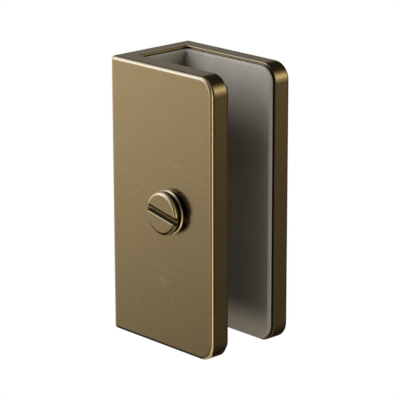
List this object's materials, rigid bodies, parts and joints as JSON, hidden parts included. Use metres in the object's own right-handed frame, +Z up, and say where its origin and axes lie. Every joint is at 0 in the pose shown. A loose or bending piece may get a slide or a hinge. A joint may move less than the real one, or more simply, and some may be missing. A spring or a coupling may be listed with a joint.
{
  "type": "shower glass u bracket",
  "caption": "Slim brass U bracket that holds the edge of a shower glass against a wall, with a grey liner and a slotted clamp screw through its front plate.",
  "frame": {"origin": "middle of the flat face that lies on the wall", "axes": "+X out from the wall along the glass, +Z up along the bracket's length, the clamp screw's head faces -Y"},
  "size_m": [0.036, 0.0289, 0.0706],
  "materials": {
    "satin_brass": "satin, aged",
    "turned_brass": "satin, turned",
    "grey_liner": "satin",
    "pad_plastic": "matt, moulded"
  },
  "bodies": {
    "bracket": {"bracket_body": "satin_brass", "liner": "grey_liner", "washer": "turned_brass"},
    "pad": {"pressure_pad": "pad_plastic"},
    "screw": {"clamp_screw": "turned_brass"}
  },
  "joints": [
    {"name": "pad_slide", "type": "slide", "parent": "bracket", "child": "pad", "axis": [0, 1, 0], "range_m": [-0.0015, 0.0007]},
    {"name": "screw_turn", "type": "hinge", "parent": "pad", "child": "screw", "pos_m": [0.02113, -0.013, 0], "axis": [0, 1, 0], "range_deg": [-540, 252]}
  ],
  "couplings": [
    {"joint": "screw_turn", "follows": "pad_slide", "rad_per_m": 6283.2}
  ]
}
